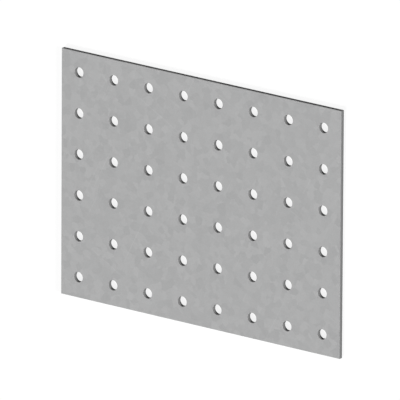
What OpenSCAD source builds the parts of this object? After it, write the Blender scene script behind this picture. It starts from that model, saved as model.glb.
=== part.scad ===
// Perforated connector plate: one flat piece of galvanised steel sheet with a square grid of
// punched nail holes. It is laid over a timber joint and nailed through the holes.
// It lies flat on z = 0 with its face up, its length along X and the origin under its centre.
// All sizes are in millimetres.

/* [Hole grid] */
// Holes along the length of the plate
columns = 8; // [2:1:16]
// Holes across the width of the plate
rows = 6; // [1:1:12]
// Distance between the centres of neighbouring holes, the same both ways
pitch = 20; // [12:0.5:40]
// Diameter of a nail hole
hole_d = 5; // [3:0.1:8]

/* [Sheet] */
// Thickness of the sheet
sheet_t = 2; // [1:0.1:4]
// Sheet left from the outer hole centres to the two ends
end_margin = 10; // [6:0.5:30]
// Sheet left from the outer hole centres to the two long sides
side_margin = 10; // [6:0.5:30]

/* [Cut edges] */
// Radius of the roll-over that the punch leaves round each hole in the face
punch_roll = 0.15; // [0.05:0.05:0.5]
// Radius of the roll-over that the shear leaves along the edges of the face
shear_roll = 0.15; // [0.05:0.05:0.5]

/* [Hidden] */
$fn = 64;
// Length and width of the sheet round the hole grid
plate_l = (columns - 1) * pitch + 2 * end_margin;
plate_w = (rows - 1) * pitch + 2 * side_margin;
hole_r = hole_d / 2;
// How far a cutting shape reaches past the face it cuts
overcut = 1;

// Section of the sheet across one direction, with the two face edges rolled over by the shear
module sheet_section(span) {
    difference() {
        translate([-span / 2, 0])
            square([span, sheet_t]);
        for (side = [0, 1])
            mirror([side, 0])
                translate([span / 2 - shear_roll, sheet_t - shear_roll])
                    difference() {
                        square(shear_roll + overcut);
                        circle(r = shear_roll);
                    }
    }
}

// Sheared sheet before punching
module blank() {
    intersection() {
        translate([0, plate_w / 2, 0])
            rotate([90, 0, 0])
                linear_extrude(height = plate_w)
                    sheet_section(plate_l);
        translate([-plate_l / 2, 0, 0])
            rotate([90, 0, 90])
                linear_extrude(height = plate_l)
                    sheet_section(plate_w);
    }
}

// Metal that one punch stroke takes away: a straight wall that opens out into the face
module punched_hole() {
    rotate_extrude()
        difference() {
            translate([0, -overcut])
                square([hole_r + punch_roll, sheet_t + overcut]);
            translate([hole_r, -overcut])
                square([punch_roll, sheet_t - punch_roll + overcut]);
            translate([hole_r + punch_roll, sheet_t - punch_roll])
                circle(r = punch_roll);
        }
}

// The whole plate, punched from the face side
module connector_plate() {
    color("darkgray")
        difference() {
            blank();
            for (column = [0 : columns - 1], row = [0 : rows - 1])
                translate([
                    (column - (columns - 1) / 2) * pitch,
                    (row - (rows - 1) / 2) * pitch,
                    0
                ])
                    punched_hole();
        }
}

connector_plate();
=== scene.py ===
"""Studio scene for the perforated connector plate: galvanised faces, bare sheared and punched edges."""

import math

import bpy
from mathutils import Matrix, Vector


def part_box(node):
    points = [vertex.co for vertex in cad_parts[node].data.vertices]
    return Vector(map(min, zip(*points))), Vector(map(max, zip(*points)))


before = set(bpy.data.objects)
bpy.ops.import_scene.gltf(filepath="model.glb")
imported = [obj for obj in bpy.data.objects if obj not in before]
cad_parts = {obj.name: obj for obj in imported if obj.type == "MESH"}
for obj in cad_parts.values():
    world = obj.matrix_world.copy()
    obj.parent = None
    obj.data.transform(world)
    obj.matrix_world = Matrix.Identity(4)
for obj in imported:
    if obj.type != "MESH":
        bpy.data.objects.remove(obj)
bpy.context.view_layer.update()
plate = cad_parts["connector_plate"]
plate_low, plate_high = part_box("connector_plate")
sheet_t = plate_high[2] - plate_low[2]

MM = 0.001
WHITE = (1, 1, 1, 1)

# Camera: it looks down on the plate from the side of +X and +Y, rolled so that +Y points up in the
# picture. The lens is long, because the photograph shows no perspective. It sees from its distance
# divided by its reach to its distance times its reach. Angles are in degrees.
CAMERA_LENS_MM = 1600
CAMERA_SENSOR_MM = 36
CAMERA_DISTANCE = 8.225
CAMERA_REACH = 100
CAMERA_AZIMUTH = 28.793
CAMERA_ELEVATION = 50.202
CAMERA_ROLL = 112.586
CAMERA_AIM = Vector((-0.090 * MM, 1.467 * MM, plate_high[2]))

# Light: far lamps on two sides and above, a weak one that the metal mirrors, and a fill from all round.
# A lamp of level 1 shows a surface that faces it at its own colour, and all of them together give
# the face of the plate a level of about 1. Azimuths run from +X towards +Y.
LAMPS = (
    {"name": "key", "azimuth": 3, "elevation": 20, "level": 0.565, "softness": 10, "mirrored": False},
    {"name": "top", "azimuth": 0, "elevation": 90, "level": 0.36, "softness": 20, "mirrored": False},
    {"name": "back", "azimuth": 235, "elevation": 35, "level": 0.55, "softness": 20, "mirrored": False},
    {"name": "sheen", "azimuth": -30, "elevation": 60, "level": 0.08, "softness": 20, "mirrored": True},
)
FILL_LEVEL = 0.06

# Stage: a floor that is white where it is seen and dark where it only bounces light. Its glow stays
# short of white and the lamps add the rest, so that the plate's shadow shows on it.
FLOOR_SIZE = 6.0
FLOOR_DROP = 0.01 * MM
FLOOR_GLOW = 0.75
FLOOR_SHADOWED = (0.28, 0.28, 0.28, 1)
FLOOR_BOUNCE = (0.08, 0.08, 0.08, 1)

# Cells of the zinc's patterns along X, Y and Z. Scratches run in two directions, turned by radians,
# and come in where their noise passes from the first level to the second.
CRYSTAL_SIZE = 3.2 * MM
BORDER_FEATHER = 1.4 * MM
BORDER_CELL = (0.9 * MM, 0.9 * MM, 0.9 * MM)
NEEDLE_CELL = (1.4 * MM, 0.22 * MM, 1.4 * MM)
STREAK_CELL = (40 * MM, 1.1 * MM, 40 * MM)
CLOUD_CELL = (28 * MM, 28 * MM, 28 * MM)
SCRATCH_CELL = (60 * MM, 0.7 * MM, 60 * MM)
SCRATCH_TURNS = (0.5, -1.1)
SCRATCH_LEVELS = (0.72, 0.76)

# Tone of the zinc, from 0 for dark to 1 for light, as the shares that its patterns have in it
ZINC_DARK = (0.370, 0.372, 0.374, 1)
ZINC_LIGHT = (0.477, 0.478, 0.479, 1)
CRYSTAL_SHARE = 0.4
NEEDLE_SHARE = 0.3
STREAK_SHARE = 0.15
CLOUD_SHARE = 0.15
SCRATCH_SHARE = 0.35
ZINC_METALLIC = 0.7
ZINC_ROUGHNESS = (0.40, 0.50)
DULL_ROUGHNESS = 0.08
ZINC_RELIEF = 0.0025 * MM

# Cut steel: the shear and the punch leave a burnished band below the face, and the metal below it
# breaks. Pairs give the burnished band first and the broken metal second.
BURNISHED_DEPTH = 0.45 * sheet_t
BREAK_WAVER = 0.35 * sheet_t
BREAK_BLUR = 0.06 * sheet_t
WAVER_CELL = (2 * MM, 2 * MM, math.inf)
DRAG_CELL = (0.17 * MM, 0.17 * MM, 2.9 * MM)
GRAIN_CELL = (0.16 * MM, 0.16 * MM, 0.16 * MM)
GRAIN_HARSHNESS = 0.65
STEEL_BURNISHED = (0.37, 0.37, 0.37, 1)
STEEL_BROKEN = (0.30, 0.30, 0.30, 1)
DRAG_TINT = 0.25
GRAIN_TINT = 0.35
DRAG_HEIGHT = (0.5, 0.15)
GRAIN_HEIGHT = (0.1, 1.0)
STEEL_ROUGHNESS = (0.45, 0.75)
STEEL_SPECULAR = 0.05
STEEL_RELIEF = 0.025 * MM

# A face of the mesh is a cut wall where its normal's Z, up or down, is smaller than this
EDGE_NORMAL_Z = 0.7

# Noise: it spends most of its range from low to high. It has one to three layers of finer noise, and
# its harshness is how strong each layer is beside the one before.
NOISE_LOW, NOISE_HIGH = 0.3, 0.7
NOISE_SMOOTH, NOISE_PLAIN, NOISE_FINE = 1.0, 2.0, 3.0
NOISE_HARSHNESS = 0.5

# Places of the Mix node's colour sockets, which share their names with its other sockets
MIX_COLOUR_A, MIX_COLOUR_B, MIX_COLOUR_RESULT = 6, 7, 2


def direction(azimuth, elevation):
    """Unit vector from the plate towards a place in the studio."""
    azimuth, elevation = math.radians(azimuth), math.radians(elevation)
    flat = math.cos(elevation)
    return Vector((flat * math.cos(azimuth), flat * math.sin(azimuth), math.sin(elevation)))


class Shader:
    """A node tree with short ways to add nodes and link them."""

    def __init__(self, tree):
        self.tree = tree
        tree.nodes.clear()

    def add(self, kind, inputs=(), **settings):
        """Adds a node. inputs maps socket names or places to a value or to another node's output."""
        node = self.tree.nodes.new("ShaderNode" + kind)
        for key, value in settings.items():
            setattr(node, key, value)
        for key, value in dict(inputs).items():
            if isinstance(value, bpy.types.NodeSocket):
                self.tree.links.new(value, node.inputs[key])
            else:
                node.inputs[key].default_value = value
        return node

    def math(self, operation, a, b, clamp=False):
        """Result of an operation on two values."""
        return self.add("Math", {0: a, 1: b}, operation=operation, use_clamp=clamp).outputs[0]

    def total(self, *terms):
        """Sum of values, each multiplied by its weight."""
        result = 0.0
        for weight, value in terms:
            result = self.math("ADD", result, self.math("MULTIPLY", value, weight))
        return result

    def ramp(self, value, low, high, to_low=0.0, to_high=1.0):
        """Maps low..high to to_low..to_high, clamped."""
        inputs = {"Value": value, "From Min": low, "From Max": high, "To Min": to_low, "To Max": to_high}
        return self.add("MapRange", inputs).outputs[0]

    def blend(self, share, a, b):
        """Goes from colour a to colour b as share goes from 0 to 1."""
        inputs = {"Factor": share, MIX_COLOUR_A: a, MIX_COLOUR_B: b}
        return self.add("Mix", inputs, data_type="RGBA").outputs[MIX_COLOUR_RESULT]

    def vector(self, operation, a, b):
        """Result of an operation on two vectors."""
        return self.add("VectorMath", {0: a, 1: b}, operation=operation).outputs[0]

    def place(self):
        """Where the point is on the plate, in metres."""
        return self.add("TexCoord").outputs["Object"]

    def noise(self, cell, turn=0.0, detail=NOISE_PLAIN, harshness=NOISE_HARSHNESS, output="Fac"):
        """Noise whose cells have these sizes along X, Y and Z, turned about Z."""
        turning = {"Vector": self.place(), "Angle": turn}
        turned = self.add("VectorRotate", turning, rotation_type="Z_AXIS").outputs[0]
        scaled = self.vector("MULTIPLY", turned, tuple(1 / size for size in cell))
        inputs = {"Vector": scaled, "Scale": 1.0, "Detail": detail, "Roughness": harshness}
        return self.add("TexNoise", inputs).outputs[output]

    def spread(self, noise, to_low=0.0, to_high=1.0):
        """Maps the middle of a noise's range to to_low..to_high."""
        return self.ramp(noise, NOISE_LOW, NOISE_HIGH, to_low, to_high)

    def relief(self, height, distance):
        """Normal of a surface that rises by distance where height is 1."""
        return self.add("Bump", {"Height": height, "Distance": distance}).outputs[0]

    def seen_directly(self):
        """1 for camera, glossy and transmission rays, which show the background."""
        rays = self.add("LightPath").outputs
        seen = self.math("ADD", rays["Is Camera Ray"], rays["Is Glossy Ray"])
        return self.math("ADD", seen, rays["Is Transmission Ray"], clamp=True)

    def finish(self, kind, surface):
        """Links the surface to the output of a material or a world."""
        self.add("Output" + kind, {"Surface": surface.outputs[0]})


def new_material(name):
    """An empty material and the shader that fills it."""
    material = bpy.data.materials.new(name)
    material.use_nodes = True
    return material, Shader(material.node_tree)


def zinc_material():
    """Hot-dip zinc: small crystals of slightly different tone, rolling streaks and light scratches."""
    material, s = new_material("galvanised_zinc")

    # Crystals with feathered borders, each with its own tone, needle direction and roughness
    wander = s.noise(BORDER_CELL, detail=NOISE_FINE, output="Color")
    feathered = s.vector("ADD", s.place(), s.vector("MULTIPLY", wander, (BORDER_FEATHER,) * 3))
    crystals = s.add("TexVoronoi", {"Vector": feathered, "Scale": 1 / CRYSTAL_SIZE}).outputs["Color"]
    crystal_tone, crystal_turn, crystal_dullness = s.add("SeparateColor", {"Color": crystals}).outputs

    needles = s.noise(NEEDLE_CELL, turn=s.math("MULTIPLY", crystal_turn, math.pi))
    streaks = s.noise(STREAK_CELL, detail=NOISE_FINE)
    clouds = s.noise(CLOUD_CELL, detail=NOISE_FINE)
    scratches = [
        s.ramp(s.noise(SCRATCH_CELL, turn=turn, detail=NOISE_SMOOTH), *SCRATCH_LEVELS)
        for turn in SCRATCH_TURNS
    ]

    tone = s.total(
        (CRYSTAL_SHARE, crystal_tone), (NEEDLE_SHARE, s.spread(needles)),
        (STREAK_SHARE, streaks), (CLOUD_SHARE, clouds),
        *((SCRATCH_SHARE, scratch) for scratch in scratches),
    )
    roughness = s.ramp(crystal_dullness, 0, 1, *ZINC_ROUGHNESS)
    surface = s.add("BsdfPrincipled", {
        "Base Color": s.blend(tone, ZINC_DARK, ZINC_LIGHT),
        "Metallic": ZINC_METALLIC,
        "Roughness": s.math("ADD", roughness, s.spread(clouds, 0, DULL_ROUGHNESS)),
        "Normal": s.relief(s.math("ADD", needles, streaks), ZINC_RELIEF),
    })
    s.finish("Material", surface)
    return material


def edge_material():
    """Bare cut steel: a burnished band under the face, and rough broken metal below it."""
    material, s = new_material("cut_steel")

    # Drag lines run from face to back, and the line where the metal broke wavers
    drag = s.noise(DRAG_CELL)
    grains = s.noise(GRAIN_CELL, detail=NOISE_FINE, harshness=GRAIN_HARSHNESS)
    waver = s.ramp(s.noise(WAVER_CELL, detail=NOISE_FINE), 0, 1, -BREAK_WAVER / 2, BREAK_WAVER / 2)
    height_on_plate = s.add("SeparateXYZ", {"Vector": s.place()}).outputs["Z"]
    depth = s.math("SUBTRACT", plate_high[2], height_on_plate)
    past_break = s.math("SUBTRACT", s.math("ADD", depth, waver), BURNISHED_DEPTH)
    broken = s.ramp(past_break, 0, BREAK_BLUR)

    burnished_colour = s.blend(s.spread(drag, 0, DRAG_TINT), STEEL_BURNISHED, STEEL_BROKEN)
    broken_colour = s.blend(s.spread(grains, 0, GRAIN_TINT), STEEL_BROKEN, STEEL_BURNISHED)
    relief = s.math(
        "ADD",
        s.math("MULTIPLY", drag, s.ramp(broken, 0, 1, *DRAG_HEIGHT)),
        s.math("MULTIPLY", grains, s.ramp(broken, 0, 1, *GRAIN_HEIGHT)),
    )
    surface = s.add("BsdfPrincipled", {
        "Base Color": s.blend(broken, burnished_colour, broken_colour),
        "Roughness": s.ramp(broken, 0, 1, *STEEL_ROUGHNESS),
        "Specular IOR Level": STEEL_SPECULAR,
        "Normal": s.relief(relief, STEEL_RELIEF),
    })
    s.finish("Material", surface)
    return material


def dress_plate():
    """Zinc on the faces and their rolled edges, bare steel on the cut walls."""
    plate.data.materials.clear()
    plate.data.materials.append(zinc_material())
    plate.data.materials.append(edge_material())
    for polygon in plate.data.polygons:
        polygon.material_index = 1 if abs(polygon.normal.z) < EDGE_NORMAL_Z else 0


def build_floor():
    """A floor just under the plate, which can be seen through from below."""
    half = FLOOR_SIZE / 2
    outline = ((-half, -half), (half, -half), (half, half), (-half, half))
    mesh = bpy.data.meshes.new("floor")
    mesh.from_pydata([(x, y, -FLOOR_DROP) for x, y in outline], [], [range(len(outline))])
    floor = bpy.data.objects.new("floor", mesh)
    bpy.context.scene.collection.objects.link(floor)

    material, s = new_material("studio_floor")
    bounce = s.add("BsdfDiffuse", {"Color": FLOOR_BOUNCE}).outputs[0]
    glow = s.add("Emission", {"Color": WHITE, "Strength": FLOOR_GLOW}).outputs[0]
    shadowed = s.add("BsdfDiffuse", {"Color": FLOOR_SHADOWED}).outputs[0]
    shown = s.add("AddShader", {0: glow, 1: shadowed}).outputs[0]
    upper_side = s.add("MixShader", {0: s.seen_directly(), 1: bounce, 2: shown}).outputs[0]
    under_side = s.add("BsdfTransparent", {"Color": WHITE}).outputs[0]
    from_below = s.add("NewGeometry").outputs["Backfacing"]
    s.finish("Material", s.add("MixShader", {0: from_below, 1: upper_side, 2: under_side}))
    mesh.materials.append(material)


def build_lamp(name, azimuth, elevation, level, softness, mirrored):
    """A far lamp that lights the whole plate from one direction."""
    lamp = bpy.data.lights.new(name, "SUN")
    lamp.energy = math.pi * level
    lamp.angle = math.radians(softness)
    holder = bpy.data.objects.new(name, lamp)
    holder.rotation_mode = "QUATERNION"
    holder.rotation_quaternion = (-direction(azimuth, elevation)).to_track_quat("-Z", "Y")
    holder.visible_glossy = mirrored
    bpy.context.scene.collection.objects.link(holder)


def build_world():
    """White where it is seen or mirrored, and a weak fill on the plate."""
    world = bpy.data.worlds.new("studio")
    world.use_nodes = True
    s = Shader(world.node_tree)
    fill = s.add("Background", {"Color": WHITE, "Strength": FILL_LEVEL}).outputs[0]
    shown = s.add("Background", {"Color": WHITE, "Strength": 1.0}).outputs[0]
    s.finish("World", s.add("MixShader", {0: s.seen_directly(), 1: fill, 2: shown}))
    bpy.context.scene.world = world


def build_camera():
    """A long lens at the photograph's viewing angle."""
    back = direction(CAMERA_AZIMUTH, CAMERA_ELEVATION)
    level_right = Vector((0, 0, 1)).cross(back).normalized()
    level_up = back.cross(level_right)
    roll = math.radians(CAMERA_ROLL)
    up = level_up * math.cos(roll) + level_right * math.sin(roll)
    right = up.cross(back)

    lens = bpy.data.cameras.new("camera")
    lens.lens = CAMERA_LENS_MM
    lens.sensor_width = CAMERA_SENSOR_MM
    lens.clip_start = CAMERA_DISTANCE / CAMERA_REACH
    lens.clip_end = CAMERA_DISTANCE * CAMERA_REACH
    camera = bpy.data.objects.new("camera", lens)
    axes = Matrix((right, up, back)).transposed().to_4x4()
    camera.matrix_world = Matrix.Translation(CAMERA_AIM + back * CAMERA_DISTANCE) @ axes
    bpy.context.scene.collection.objects.link(camera)
    bpy.context.scene.camera = camera


bpy.context.scene.view_settings.view_transform = "Standard"
build_camera()
for lamp_settings in LAMPS:
    build_lamp(**lamp_settings)
build_world()
build_floor()
dress_plate()
